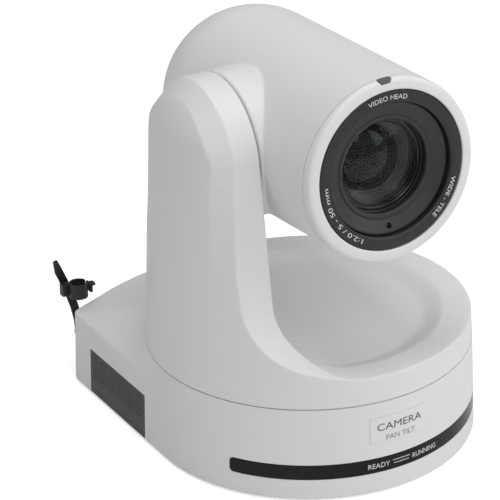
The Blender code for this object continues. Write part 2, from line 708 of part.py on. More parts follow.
def make_pan_frame():
    table = rod("turntable", 85, 54.4, 56.4, mat=ALUMINIUM, sides=ROUND)
    cut(table, rod("cable_hole", 8, 50, 60, collection=cutters))
    frame = box("arm_frame", (-78, -34, 56.7), (-54.3, 34, 58.7), ALUMINIUM)
    z = TILT_Z / MM
    web = prism(
        "web",
        [(-30 * MM, 58 * MM), (30 * MM, 58 * MM)] + arc((0, TILT_Z), 26 * MM, 0, 180, 18),
        -56.7 * MM, -54.3 * MM, "X", None, cutters,
    )
    join(frame, web, rod("bearing_boss", 17, -62, -54.3, at=(0, z), axis="X", sides=TURNED, collection=cutters))
    cut(
        frame,
        rod("bearing_bore", 13.5, -65, -50, at=(0, z), axis="X", sides=TURNED, collection=cutters),
        rod("motor_bore", 14.4, -65, -50, at=(0, TILT_MOTOR_Z / MM), axis="X", sides=TURNED, collection=cutters),
        box("lightening", (-60, -14, 112), (-50, 14, 146), collection=cutters),
    )
    turned(
        "tilt_bearing", [(13.2, 3.5), (13.2, -3.5), (10.4, -3.5), (10.4, 3.5)],
        at=(-58, 0, z), axis="X", mat=STEEL, steps=TURNED,
    )
    motor = rod("tilt_motor", 14, -66.6, -54.3, at=(0, TILT_MOTOR_Z / MM), axis="X", mat=STEEL, sides=TURNED)
    join(
        motor,
        box("flange", (-58.6, -17, 67), (-57, 17, 101), collection=cutters),
        rod("shaft", 1.9, -73, -66, at=(0, TILT_MOTOR_Z / MM), axis="X", sides=16, collection=cutters),
    )
    spot = (-70.5, 0, TILT_MOTOR_Z / MM)
    pinion = toothed("tilt_motor_pulley", TILT_PINION_R / MM, 6, 2.2, -3, 3, at=spot, axis="X", mat=BLACK)
    pivot_at(pinion, spot)
    belt(
        "tilt_belt", (0, z), 22.3, (0, TILT_MOTOR_Z / MM), 5.8, 1.2, -73, -68, "X", RUBBER,
    )


# ---- head ------------------------------------------------------------------
def head_profile(shrink, front):
    """Half outline of the barrel as (radius, y), from the tip of its round end to its front edge."""
    round_r = HEAD_R / MM - shrink
    dome = arc((0, DOME_Y / MM), round_r, 90, 0, 9)[1:]
    return [(0, DOME_Y / MM + round_r)] + dome + [(HEAD_FRONT_R / MM - shrink, front), (0, front)]


def make_head_shell():
    z = TILT_Z / MM
    front = BEZEL_Y / MM + 0.2
    shell = turned("head_shell", head_profile(0, front), (0, 0, z), "Y", WHITE, MIDDLE)
    boss_face = ARM_X / MM + 0.4
    join(shell, rod("boss", ARM_R / MM, boss_face, 0, at=(0, z), axis="X", sides=MIDDLE, collection=cutters))
    skin = SKIN / MM
    core = turned("core", head_profile(skin, front - 5), (0, 0, z), "Y", None, MIDDLE, cutters)
    join(
        core,
        rod("boss_core", ARM_R / MM - skin, boss_face + skin, 0, at=(0, z), axis="X", sides=MIDDLE,
            collection=cutters),
    )
    join(core, rod("shaft_hole", 12, -60, -40, at=(0, z), axis="X", collection=cutters))
    cut(shell, core)
    smooth(shell, 25)
    return shell


def lens_solid(name, radius, front_sag, rear_sag, thickness, y, mat=GLASS, steps=20):
    """A lens: two spherical caps on a rim, turned round the optical axis. Sizes in millimetres."""
    count = 3

    def cap(sag, sign):
        points = []
        for i in range(count + 1):
            r = radius * i / count
            points.append((r, sign * (thickness / 2 + sag * (1 - (r / radius) ** 2))))
        return points

    outline = cap(rear_sag, 1) + cap(front_sag, -1)[::-1]
    return turned(name, outline, at=(0, y, TILT_Z / MM), axis="Y", mat=mat, steps=steps)


def make_head():
    z = TILT_Z / MM
    centre = (0, 0, z)
    shell = make_head_shell()
    back = BEZEL_Y / MM - 0.2
    ring = RING_R / MM
    hood = HOOD_R / MM
    front = FRONT_Y / MM
    bezel = turned(
        "front_bezel",
        [(ring + 0.3, back), (ring + 0.3, front + 0.2), (44.5, front), (46.6, front + 0.4), (47.9, front + 1.6),
         (48.6, front + 3.6), (48.9, back)][::-1],
        at=centre, axis="Y", mat=WHITE, steps=MIDDLE,
    )
    cut(bezel, box("tally_slot", (-6.3, back - 5.1, z + 44.5), (1.3, back - 1.3, z + 52), collection=cutters))
    lamp = box("tally_lamp", (-6, back - 4.8, z + 45), (1, back - 1.6, z + 48.3), LAMP)
    text = turned(
        "lens_ring",
        [(hood + 0.3, back + 2), (hood + 0.3, front + 1.4), (ring - 1.5, front + 0.35), (ring, front + 0.6),
         (ring, back + 2)][::-1],
        at=centre, axis="Y", mat=BLACK, steps=MIDDLE,
    )
    aperture = APERTURE_R / MM
    cone = turned(
        "lens_hood",
        [(aperture, -70.5), (aperture, -74.6), (aperture + 1.4, -75.4), (hood - 2, -80.4), (hood, -80.8),
         (hood, -76), (aperture + 4, -70.5)][::-1],
        at=centre, axis="Y", mat=GREY, steps=MIDDLE,
    )
    cut(cone, rod("sensor_hole", 0.9, -85, -76.5, at=(0, z - 31.5), axis="Y", sides=16, collection=cutters))
    glass = lens_solid("front_lens", 22.4, 4.2, -2.0, 6.0, -68.5)
    barrel = turned(
        "lens_barrel",
        [(30, -66), (26.4, -70.2), (23.4, -70.2), (23.2, -66), (26.5, -64), (26.5, 22), (30, 22)],
        at=centre, axis="Y", mat=ALUMINIUM, steps=TURNED,
    )
    zoom = lens_solid("zoom_group", 20, 1.5, 1.5, 9, -32)
    zoom_cell = turned(
        "cell", [(26, 7), (26, -7), (19.5, -7), (19.5, 7)], at=(0, -32, z), axis="Y", steps=20,
        collection=cutters,
    )
    join(zoom, zoom_cell)
    focus = lens_solid("focus_group", 17, 2.0, 1.0, 7, 6)
    focus_cell = turned(
        "cell", [(26, 5), (26, -5), (16.5, -5), (16.5, 5)], at=(0, 6, z), axis="Y", steps=20, collection=cutters,
    )
    join(focus, focus_cell)
    wheel = rod("filter_wheel", 24, 25, 26.6, at=(0, z - 15), axis="Y", mat=BLACK, sides=TURNED)
    for turn in range(4):
        angle = math.radians(90 * turn + 90)
        spot = (14 * math.cos(angle), z - 15 + 14 * math.sin(angle))
        cut(wheel, rod("filter", 7, 20, 30, at=spot, axis="Y", sides=20, collection=cutters))
    cut(wheel, rod("hub", 1.8, 20, 30, at=(0, z - 15), axis="Y", sides=16, collection=cutters))
    block = box("prism_block", (-13, 31, z - 13), (13, 56, z + 13), GLASS)
    cut(block, box("bevel", (-20, 50, z - 30), (20, 70, z - 9), collection=cutters))
    boards = [
        box("sensor_board_green", (-17, 56.8, z - 8), (17, 58.4, z + 17), BOARD),
        box("sensor_board_red", (-15, 33, z + 13.6), (15, 55, z + 15.2), BOARD),
        box("sensor_board_blue", (-15, 33, z - 15.2), (15, 48, z - 13.6), BOARD),
    ]
    camera_board = rod("camera_board", 36, 63, 64.6, at=(0, z), axis="Y", mat=BOARD, sides=TURNED)
    for low, high in (((-12, 61, z - 12), (12, 63.5, z + 12)), ((16, 61.6, z - 8), (28, 63.5, z + 8)),
                      ((-28, 61.6, z + 8), (-18, 63.5, z + 20))):
        join(camera_board, box("chip", low, high, collection=cutters))
    sink = box("heat_sink", (-20, 66.5, z - 20), (20, 69, z + 20), ALUMINIUM)
    for i in range(9):
        x = -19 + i * 4.5
        join(sink, box("fin", (x, 68, z - 20), (x + 1.6, 79, z + 20), collection=cutters))
    frame = box("head_frame", (-35.6, -62, z - 24), (-33, 60, z + 24), ALUMINIUM)
    cut(frame, rod("cable_hole", 7, -40, -30, at=(0, z), axis="X", collection=cutters))
    shaft = turned(
        "tilt_shaft",
        [(10.1, 38), (10.1, 10.6), (22, 10.6), (22, 8.2), (10.1, 8.2), (10.1, 0.3), (6.5, 0.3), (6.5, 38)][::-1],
        at=(-35.9, 0, z), axis="X", mat=STEEL, steps=TURNED,
    )
    shaft.data.transform(
        Matrix.Translation((-35.9 * MM, 0, TILT_Z)) @ Matrix.Scale(-1, 4, (1, 0, 0))
        @ Matrix.Translation((35.9 * MM, 0, -TILT_Z))
    )
    shaft.data.flip_normals()
    pulley = toothed(
        "tilt_pulley", TILT_PULLEY_R / MM, 18, 10.4, -3, 3, at=(-70.5, 0, z), axis="X", mat=BLACK
    )
    pivot = bpy.data.objects.new("tilt_axis", None)
    pivot.location = (0, 0, TILT_Z)
    parts.objects.link(pivot)
    riders = [shell, bezel, lamp, text, cone, glass, barrel, zoom, focus, wheel, block, camera_board,
              sink, frame, shaft, pulley] + boards
    for obj in riders:
        obj.data.transform(Matrix.Translation((0, 0, -TILT_Z)))
        obj.parent = pivot
    pivot_at(wheel, (0, 25.8, -15))
    pivot.rotation_euler = (-TILT_REST, 0, 0)


make_base()
make_rear_panel()
make_cable_clamp()
make_drive()
make_pan_covers()
make_pan_frame()
make_head()
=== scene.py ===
"""Looks of the pan-tilt-zoom camera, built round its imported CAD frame. Shapes are in millimetres here."""

import json
import math

import bmesh
import bpy
from mathutils import Matrix, Vector


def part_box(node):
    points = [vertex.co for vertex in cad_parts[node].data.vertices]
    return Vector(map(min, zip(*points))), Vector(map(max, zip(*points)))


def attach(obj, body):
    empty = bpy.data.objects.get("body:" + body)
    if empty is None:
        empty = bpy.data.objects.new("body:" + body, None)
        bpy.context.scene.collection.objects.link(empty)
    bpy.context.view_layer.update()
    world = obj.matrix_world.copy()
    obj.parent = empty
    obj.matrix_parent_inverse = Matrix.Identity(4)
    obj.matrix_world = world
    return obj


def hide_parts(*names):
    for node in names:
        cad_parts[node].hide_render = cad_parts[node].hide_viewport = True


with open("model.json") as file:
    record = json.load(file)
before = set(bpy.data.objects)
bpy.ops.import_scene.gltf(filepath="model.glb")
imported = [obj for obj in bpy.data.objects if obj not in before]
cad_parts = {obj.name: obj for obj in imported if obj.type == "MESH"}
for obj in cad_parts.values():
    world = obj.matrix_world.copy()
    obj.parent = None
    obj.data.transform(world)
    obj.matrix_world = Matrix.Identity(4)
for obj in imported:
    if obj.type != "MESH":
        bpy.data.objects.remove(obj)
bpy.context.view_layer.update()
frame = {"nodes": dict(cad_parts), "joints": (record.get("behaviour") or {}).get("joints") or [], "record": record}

MM = 0.001
ROUND = 192                             # segments of a large circle
SMALL = 48                              # segments of a small one


def millimetres(node):
    low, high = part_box(node)
    return low / MM, high / MM


# ---- dimensions, read from the CAD boxes ------------------------------------
base_low, base_high = millimetres("base_housing")
disc_low, disc_high = millimetres("disc_cover")
joints = {joint["name"]: joint for joint in frame["joints"]}

BASE_R = base_high.x
BASE_Z0, BASE_Z1 = base_low.z, base_high.z
TOP_R = BASE_R - 1.4
REAR_Y = base_high.y
REAR_R = 165
CORNER_R = 5
DECK_Z, DECK_RISE = 40.5, 3
WALL = 2.6
LEAN = (BASE_R - TOP_R) / (BASE_Z1 - BASE_Z0)

STRIP_Z, STRIP_ANGLE = (12.9, 21.2), 59                 # dark window: its height and half its angle
BADGE_Z, BADGE_ANGLE, BADGE_TURN = (30, 45), 11.4, 1.1
BAR_Z, BAR_ANGLE, BAR_TURN = ((17.7, 18.15), (15.9, 16.35)), (3.5, 3.0), 1.5
LABEL_LONG, LABEL_HIGH = 63, 26
LABEL_Y, LABEL_Z = 24, 2.2              # its lower front corner on the left wall
LABEL_ROWS, LABEL_TOP, LABEL_PITCH = 13, 24.4, 1.15

PAN_R, PAN_Z0 = disc_high.x, disc_low.z
PAN_TOP_R = 81.8
RIM_Z = 69
DISH_R, DISH_DEPTH = 73, 4.5
SKIN = 2.4
TILT_Z = joints["tilt"]["pos_m"][2] / MM
ARM_R = 39.9
ARM_X = -51.3
FLARE_R, FLARE_Y = 46, 95.5
INNER_R = 34
CROWN_Z, CROWN_R = 187.3, 31       # where the arm's outer wall starts to curve in
CHAMFER_X, CHAMFER_DEEP, CHAMFER_END = -66, 24, 126
CHAMFER_SLOPE, CHAMFER_RISE = 0.58, 0.26            # slope at the sides, and how much more at the top
CHAMFER_FLUSH, CHAMFER_DRIFT = 1.77, 4.6            # slope and shift of its crease where it meets the wall
PAN_SLOPE = (PAN_R - PAN_TOP_R) / (TILT_Z + ARM_R - PAN_Z0)

HEAD_R, HEAD_FRONT_R = 50.6, 49.0
DOME_Y = 52.3
SEAM_Y = -77.0          # joint between barrel and front ring, on the lens axis
SEAM_LEAN = 0.060       # it leans forward towards the top
FRONT_Y = -83.4
RING_R, HOOD_R, RING_BACK = 42.4, 35.3, -74.6
GLASS_R, SECOND_R = 22.3, 15.4
EYE_Z = -31.5           # the small sensor hole in the hood, below the lens axis
TEXT_R, TEXT_HEIGHT = 38.9, 2.6         # middle and height of the ring's lettering
TILT_REST = math.radians(4)
HEAD_PLACE = Matrix.Translation((0, 0, TILT_Z)) @ Matrix.Rotation(-TILT_REST, 4, "X")


# ---- meshes -----------------------------------------------------------------
scene_root = bpy.context.scene.collection


def put(bm, name):
    bmesh.ops.recalc_face_normals(bm, faces=bm.faces)
    mesh = bpy.data.meshes.new(name)
    bm.to_mesh(mesh)
    bm.free()
    obj = bpy.data.objects.new(name, mesh)
    scene_root.objects.link(obj)
    return obj


def bridge(bm, loops):
    """Quads between each loop of vertices and the next."""
    for lower, upper in zip(loops, loops[1:]):
        for i in range(len(lower)):
            j = (i + 1) % len(lower)
            bm.faces.new((lower[i], lower[j], upper[j], upper[i]))


def loft(name, rings):
    """A solid through rings of equal count, closed at both ends."""
    bm = bmesh.new()
    loops = [[bm.verts.new(p) for p in ring] for ring in rings]
    bridge(bm, loops)
    bm.faces.new(loops[0])
    bm.faces.new(loops[-1])
    bmesh.ops.remove_doubles(bm, verts=bm.verts, dist=1e-5)
    return put(bm, name)


def lathe(name, profile, steps, axis="Z", at=(0, 0, 0)):
    """A closed profile of (radius, height), turned. Ends at radius 0 are closed by themselves."""
    rings = []
    for r, h in profile:
        ring = []
        for i in range(steps):
            a = 2 * math.pi * i / steps
            u, v = r * math.cos(a), r * math.sin(a)
            ring.append({"Z": (u, v, h), "Y": (u, h, v), "X": (h, u, v)}[axis])
        rings.append([Vector(p) + Vector(at) for p in ring])
    bm = bmesh.new()
    loops = [[bm.verts.new(p) for p in ring] for ring in rings]
    on_axis = profile[0][0] == 0 and profile[-1][0] == 0
    bridge(bm, loops if on_axis else [*loops, loops[0]])
    bmesh.ops.remove_doubles(bm, verts=bm.verts, dist=1e-4)
    return put(bm, name)


def arc(centre, radius, start, end, steps):
    """Points of a circular arc between two angles in degrees."""
    angles = [math.radians(start + (end - start) * i / steps) for i in range(steps + 1)]
    return [(centre[0] + radius * math.cos(a), centre[1] + radius * math.sin(a)) for a in angles]


def rounded(points, radii, steps=5, closed=False):
    """A polyline whose corners are rounded. radii has one radius for each point."""
    result = []
    count = len(points)
    for i, point in enumerate(points):
        r = radii[i]
        ends = not closed and i in (0, count - 1)
        if r == 0 or ends:
            result.append(tuple(point))
            continue
        here = Vector(point)
        before = Vector(points[i - 1]) - here
        after = Vector(points[(i + 1) % count]) - here
        half = before.angle(after) / 2
        if half > math.radians(89.5):
            result.append(tuple(point))
            continue
        reach = min(r / math.tan(half), before.length * 0.49, after.length * 0.49)
        start = here + before.normalized() * reach
        stop = here + after.normalized() * reach
        for k in range(steps + 1):
            t = k / steps
            spot = start * (1 - t) ** 2 + here * 2 * t * (1 - t) + stop * t ** 2
            result.append(tuple(spot))
    return result


def box(name, low, high):
    bm = bmesh.new()
    bmesh.ops.create_cube(bm, size=1)
    low, high = Vector(low), Vector(high)
    bmesh.ops.scale(bm, vec=high - low, verts=bm.verts)
    bmesh.ops.translate(bm, vec=(low + high) / 2, verts=bm.verts)
    return put(bm, name)


def prism(name, outline, low, high, axis):
    """An outline drawn straight through along X or Y."""
    spot = {"Y": lambda a, b, h: (a, h, b), "X": lambda a, b, h: (h, a, b)}[axis]
    return loft(name, [[spot(a, b, h) for a, b in outline] for h in (low, high)])


def rod(name, radius, low, high, at=(0, 0), axis="Z", steps=SMALL, edge=0.0):
    profile = [(0, high), (radius, high), (radius, low), (0, low)]
    if edge:
        profile = rounded(profile, [0, edge, edge, 0], 3)
    first, second = at
    where = {"X": (0, first, second), "Y": (first, 0, second), "Z": (first, second, 0)}[axis]
    return lathe(name, profile, steps, axis, where)


def freeze(obj):
    """Turn an object's modifiers into its mesh."""
    graph = bpy.context.evaluated_depsgraph_get()
    mesh = bpy.data.meshes.new_from_object(obj.evaluated_get(graph))
    obj.modifiers.clear()
    obj.data = mesh
    return obj


def combine(obj, other, operation):
    """Apply a Boolean of two solids to the first, and use the second up."""
    mod = obj.modifiers.new("boolean", "BOOLEAN")
    mod.operation = operation
    mod.solver = "EXACT"
    mod.object = other
    freeze(obj)
    bpy.data.objects.remove(other)
    return obj


def cut(obj, *others):
    for other in others:
        combine(obj, other, "DIFFERENCE")
    return obj


def join(obj, *others):
    for other in others:
        combine(obj, other, "UNION")
    return obj


def merge(obj, *others):
    """Put other meshes into obj as they are."""
    bm = bmesh.new()
    bm.from_mesh(obj.data)
    for other in others:
        bm.from_mesh(other.data)
        bpy.data.objects.remove(other)
    bm.to_mesh(obj.data)
    bm.free()
    return obj


def soften(obj, voxel, passes):
    """Turn a hard-edged solid into one even skin whose edges are a little round."""
    remesh = obj.modifiers.new("remesh", "REMESH")
    remesh.mode = "VOXEL"
    remesh.voxel_size = voxel
    relax = obj.modifiers.new("smooth", "SMOOTH")
    relax.factor = 0.5
    relax.iterations = passes
    return freeze(obj)


# ---- materials --------------------------------------------------------------
class Nodes:
    """A material's node tree, with a short way to add and link nodes."""

    def __init__(self, name):
        self.name = name
        self.mat = bpy.data.materials.new(name)
        self.mat.use_nodes = True
        self.tree = self.mat.node_tree
        self.shader = self.tree.nodes["Principled BSDF"]
        coordinates = self.tree.nodes.new("ShaderNodeTexCoord")
        self.place = coordinates.outputs["Object"]

    def add(self, kind):
        return self.tree.nodes.new(kind)

    def link(self, source, target):
        self.tree.links.new(source, target)

    def stretched(self, scale):
        mapping = self.add("ShaderNodeMapping")
        mapping.inputs["Scale"].default_value = scale
        self.link(self.place, mapping.inputs["Vector"])
        return mapping.outputs["Vector"]

    def noise(self, scale, detail=3.0, rough=0.55, place=None):
        node = self.add("ShaderNodeTexNoise")
        node.inputs["Scale"].default_value = scale
        node.inputs["Detail"].default_value = detail
        node.inputs["Roughness"].default_value = rough
        self.link(place or self.place, node.inputs["Vector"])
        return node.outputs["Fac"]

    def ramp(self, source, low, high, first, second):
        node = self.add("ShaderNodeValToRGB")
        node.color_ramp.elements[0].position = low
        node.color_ramp.elements[1].position = high
        node.color_ramp.elements[0].color = (*first, 1)
        node.color_ramp.elements[1].color = (*second, 1)
        self.link(source, node.inputs["Fac"])
        return node.outputs["Color"]

    def spread(self, source, low, high):
        node = self.add("ShaderNodeMapRange")
        node.inputs["From Min"].default_value = 0.3
        node.inputs["From Max"].default_value = 0.7
        node.inputs["To Min"].default_value = low
        node.inputs["To Max"].default_value = high
        self.link(source, node.inputs["Value"])
        return node.outputs["Result"]

    def bump(self, source, strength, depth):
        node = self.add("ShaderNodeBump")
        node.inputs["Strength"].default_value = strength
        node.inputs["Distance"].default_value = depth
        self.link(source, node.inputs["Height"])
        return node.outputs["Normal"]

    def set(self, **values):
        for key, value in values.items():
            self.shader.inputs[key.replace("_", " ")].default_value = value

    def feed(self, socket, source):
        self.link(source, self.shader.inputs[socket])


def plastic(name, colour, vary, rough, grain_size, grain, wide=12):
    """Moulded plastic: faint mottling of colour, and a fine spark-eroded grain."""
    n = Nodes(name)
    light = tuple(min(1, c * (1 + vary)) for c in colour)
    dark = tuple(c * (1 - vary) for c in colour)
    n.feed("Base Color", n.ramp(n.noise(wide, 4), 0.35, 0.65, dark, light))
    n.feed("Roughness", n.spread(n.noise(wide * 12, 5), rough - 0.04, rough + 0.04))
    n.feed("Normal", n.bump(n.noise(1000 / grain_size, 2, 0.6), grain, 0.00004))
    return n


def metal(name, colour, vary, rough, scale, strength):
    """Bare metal with fine lines left by the tool."""
    n = Nodes(name)
    lines = n.noise(1, 5, 0.7, n.stretched(scale))
    n.feed("Base Color", n.ramp(lines, 0.3, 0.7, tuple(c * (1 - vary) for c in colour), colour))
    n.feed("Roughness", n.spread(lines, rough - 0.07, rough + 0.09))
    n.feed("Normal", n.bump(lines, strength, 0.00003))
    n.set(Metallic=1.0)
    return n


def make_materials():
    """One material for each slot of the record, and a few more for the pieces made here."""
    white = plastic("white_plastic", (0.80, 0.80, 0.80), 0.008, 0.42, 0.35, 0.10)
    white.set(Specular_IOR_Level=0.45, Coat_Weight=0.10, Coat_Roughness=0.30)

    window = plastic("black_window", (0.009, 0.008, 0.009), 0.15, 0.10, 0.8, 0.02, 40)
    window.set(Specular_IOR_Level=0.22)
    black = plastic("black_plastic", (0.016, 0.016, 0.017), 0.15, 0.42, 0.3, 0.22, 60)
    grey = plastic("dark_grey_plastic", (0.028, 0.027, 0.028), 0.10, 0.46, 0.25, 0.14, 60)
    rubber = plastic("rubber", (0.022, 0.022, 0.023), 0.25, 0.82, 0.5, 0.5, 150)
    lamp = plastic("lamp_lens", (0.58, 0.60, 0.58), 0.05, 0.22, 0.6, 0.05, 90)
    lamp.set(Subsurface_Weight=0.15, Subsurface_Scale=0.002)

    steel = metal("steel", (0.56, 0.57, 0.59), 0.12, 0.30, (90, 1500, 1500), 0.15)
    aluminium = metal("aluminium", (0.62, 0.63, 0.65), 0.08, 0.38, (1300, 90, 1300), 0.15)
    plated = metal("nickel_plating", (0.70, 0.68, 0.63), 0.06, 0.20, (500, 1500, 500), 0.06)

    board = Nodes("circuit_board")
    cells = board.add("ShaderNodeTexBrick")
    cells.inputs["Scale"].default_value = 220
    cells.inputs["Mortar Size"].default_value = 0.04
    cells.inputs["Color1"].default_value = (0.010, 0.13, 0.05, 1)
    cells.inputs["Color2"].default_value = (0.014, 0.17, 0.06, 1)
    cells.inputs["Mortar"].default_value = (0.05, 0.26, 0.10, 1)
    board.link(board.place, cells.inputs["Vector"])
    board.feed("Base Color", cells.outputs["Color"])
    board.feed("Roughness", board.spread(board.noise(300), 0.28, 0.42))
    board.feed("Normal", board.bump(cells.outputs["Fac"], 0.3, 0.00005))

    glass = Nodes("coated_glass")
    glass.feed("Base Color", glass.ramp(glass.noise(30), 0.3, 0.7, (0.90, 0.96, 0.93), (0.96, 0.93, 0.95)))
    glass.feed("Roughness", glass.spread(glass.noise(90, 5), 0.004, 0.018))
    glass.set(Transmission_Weight=1.0, IOR=1.22, Specular_Tint=(1.0, 0.82, 0.86, 1))

    label = Nodes("label_film")
    shades = ((0.052, 0.055, 0.062), (0.066, 0.069, 0.076))
    label.feed("Base Color", label.ramp(label.noise(140, 4), 0.35, 0.65, *shades))
    label.feed("Roughness", label.spread(label.noise(700), 0.42, 0.56))
    label.feed("Normal", label.bump(label.noise(2600), 0.1, 0.00003))

    element = plastic("inner_glass", (0.004, 0.005, 0.004), 0.3, 0.06, 1.5, 0.01, 60)
    element.set(Specular_IOR_Level=0.22, Specular_Tint=(0.75, 1.0, 0.82, 1))
    gloss = plastic("black_gloss", (0.006, 0.006, 0.006), 0.2, 0.20, 0.6, 0.04, 60)
    baffle = plastic("baffle_black", (0.007, 0.007, 0.007), 0.2, 0.34, 0.6, 0.02, 60)
    smoked = plastic("smoked_lens", (0.09, 0.09, 0.09), 0.1, 0.12, 0.6, 0.03, 60)
    smoked.set(Coat_Weight=0.5, Coat_Roughness=0.05)

    made = [white, window, black, grey, rubber, lamp, steel, aluminium, plated, board, glass, label]
    made += [element, gloss, baffle, smoked]
    for name, colour, vary in (
        ("white_ink", (0.72, 0.72, 0.72), 0.03), ("grey_ink", (0.10, 0.10, 0.11), 0.05),
        ("pale_ink", (0.26, 0.26, 0.27), 0.05), ("label_ink", (0.020, 0.021, 0.024), 0.1),
    ):
        made.append(plastic(name, colour, vary, 0.5, 0.4, 0.1, 300))
    return {nodes.name: nodes.mat for nodes in made}


MATS = make_materials()


def finished(obj, name, body, slot, replaces=(), mat=None, place=None, sharp=32):
    """Scale a piece from millimetres, name it, and give it its material and its body."""
    obj.name = name
    obj.data.name = name
    if place is not None:
        obj.data.transform(place)
    obj.data.transform(Matrix.Scale(MM, 4))
    obj.data.materials.clear()
    obj.data.materials.append(MATS[mat or slot])
    obj.data.shade_smooth()
    obj.data.set_sharp_from_angle(angle=math.radians(sharp))
    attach(obj, body)
    if replaces:
        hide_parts(*replaces)
    return obj


# ---- base -------------------------------------------------------------------
def base_radius(z):
    """The base's walls lean in a little on their way up."""
    return BASE_R - LEAN * (z - BASE_Z0)


def base_outline(inset, fine):
    """Plan of the base: half-round front, flat sides, bowed rear with rounded corners."""
    side = BASE_R - inset
    rear = REAR_R - inset
    centre_y = REAR_Y - REAR_R
    inner_y = centre_y + math.sqrt((rear - CORNER_R) ** 2 - (side - CORNER_R) ** 2)
    end = math.degrees(math.atan2(inner_y - centre_y, side - CORNER_R))
    front = arc((0, 0), side, 180, 360, 30 * fine)
    flat = [(side, side * math.tan(math.radians(49 * i / (9 * fine)))) for i in range(1, 9 * fine + 1)]
    corner = arc((side - CORNER_R, inner_y), CORNER_R, 0, end, 3 * fine)
    bow = arc((0, centre_y), rear, end, 180 - end, 15 * fine)[1:-1]
    other = arc((CORNER_R - side, inner_y), CORNER_R, 180 - end, 180, 3 * fine)
    return front + flat + corner + bow + other + [(-x, y) for x, y in reversed(flat)]


def deck_edge(y):
    """Height of the crease between wall and deck, which rises towards the rear."""
    return DECK_Z + DECK_RISE * max(0.0, y) / REAR_Y


def base_solid(inset, fine, low):
    """Upright walls, a rounded crease, and a deck that runs up to the round top."""
    lean = LEAN * (DECK_Z - BASE_Z0)
    bottom = base_outline(inset, fine)
    edge = base_outline(inset + lean, fine)
    lines = []
    for (x0, y0), (x1, y1) in zip(bottom, edge):
        p0 = Vector((x0, y0, low))
        p1 = Vector((x1, y1, deck_edge(y1) - inset))
        away = Vector((x1, y1, 0)).normalized() * (TOP_R - inset)
        p2 = Vector((away.x, away.y, BASE_Z1 - inset))
        soft = 1.2 + 4.0 * min(1, max(0, (y1 - 108) / 8))
        up = (p0 - p1).normalized() * soft
        back = (p2 - p1).normalized() * min(soft, (p2 - p1).length * 0.4)
        start, stop = p1 + up, p1 + back
        inward = Vector((-x0, -y0, 0)).normalized()
        line = [p0 + inward * 0.8, p0 + inward * 0.24 + Vector((0, 0, 0.24)), p0 + Vector((0, 0, 0.8))]
        line += [line[2].lerp(start, i / 6) for i in range(1, 6)]
        turn = [k / 6 for k in range(7)]
        line += [start * (1 - t) ** 2 + p1 * 2 * t * (1 - t) + stop * t * t for t in turn]
        line += [stop.lerp(p2, i / 8) for i in range(1, 8)]
        line.append(p2)
        lines.append(line)
    return loft("base", [list(ring) for ring in zip(*lines)])


def tile(name, low, high, half_angle, out, depth, corner, step=1.5, turn=0.0):
    """A curved tile on the front of the base, with rounded corners.

    It lies between two heights, and within half_angle of turn. It stands proud of the wall by out, and step
    is the length of its facets.
    """
    reach = math.radians(half_angle) * BASE_R
    spots = []
    for k in range(7):
        a = math.pi / 2 * k / 6
        spots.append((-reach + corner * (1 - math.cos(a)), corner * (1 - math.sin(a))))
    inner = reach - corner
    count = max(2, round(2 * inner / step))
    middle = [(-inner + 2 * inner * i / count, 0) for i in range(1, count)]
    spots = spots + middle + [(-s, cut_in) for s, cut_in in reversed(spots)]
    bm = bmesh.new()
    columns = []
    for s, short in spots:
        angle = s / BASE_R - math.pi / 2 + math.radians(turn)
        column = []
        for z in (low + short, high - short):
            for r in (base_radius(z) + out, base_radius(z) + out - depth):
                column.append(bm.verts.new((r * math.cos(angle), r * math.sin(angle), z)))
        columns.append(column)
    for a, b in zip(columns, columns[1:]):
        for i, j in ((0, 2), (2, 3), (3, 1), (1, 0)):
            bm.faces.new((a[i], b[i], b[j], a[j]))
    for c in (columns[0], columns[-1]):
        bm.faces.new((c[0], c[2], c[3], c[1]))
    return put(bm, name)


# From a flat plan (0, along, up) to the left wall, at the label's lower front corner
LABEL_PLACE = Matrix.Translation((-base_radius(LABEL_Z), LABEL_Y, LABEL_Z))
LABEL_PLACE = LABEL_PLACE @ Matrix.Rotation(math.atan(LEAN), 4, "Y")


def side_plate(name, grow, out, depth):
    """A thin plate against the leaning left wall, standing out of it by out."""
    plate = box(name, (-out, -grow, -grow), (depth - out, LABEL_LONG + grow, LABEL_HIGH + grow))
    plate.data.transform(LABEL_PLACE)
    return plate


def make_base():
    housing = base_solid(0, 4, BASE_Z0)
    rear = rounded([(-61, 7), (61, 7), (61, 36), (-61, 36)], [2.5] * 4, 5, True)
    cut(
        housing,
        base_solid(WALL, 1, -6),
        rod("spindle_opening", 60, 40, 60, steps=96),
        prism("panel_window", rear, 105, 140, "Y"),
        tile("window_pocket", STRIP_Z[0] - 0.2, STRIP_Z[1] + 0.2, STRIP_ANGLE + 0.13, 3, 4.8, 2.6, 2.0),
        tile("badge_pocket", BADGE_Z[0] - 0.12, BADGE_Z[1] + 0.12, BADGE_ANGLE + 0.10, 3, 3.7, 0.6, 2.0,
             BADGE_TURN),
        side_plate("label_pocket", 0.25, 3, 3.3),
        rod("anchor_hole", 2.3, 100, 125, (-78, 21), "Y"),
    )
    finished(housing, "base_shell", "base", "white_plastic", ["base_housing"], sharp=24)

    window = tile("window", *STRIP_Z, STRIP_ANGLE, 0.05, 1.65, 2.4)
    finished(window, "front_strip", "base", "black_window", ["front_window"])
    bars = [tile("bar", *z, angle, 0.12, 0.4, 0.2, turn=BAR_TURN) for z, angle in zip(BAR_Z, BAR_ANGLE)]
    finished(merge(*bars), "status_bars", "base", "lamp_lens", ["status_lamp"])
    badge = tile("badge", *BADGE_Z, BADGE_ANGLE, 0.1, 0.7, 0.5, turn=BADGE_TURN)
    finished(badge, "badge", "base", "white_plastic", ["badge_plate"])


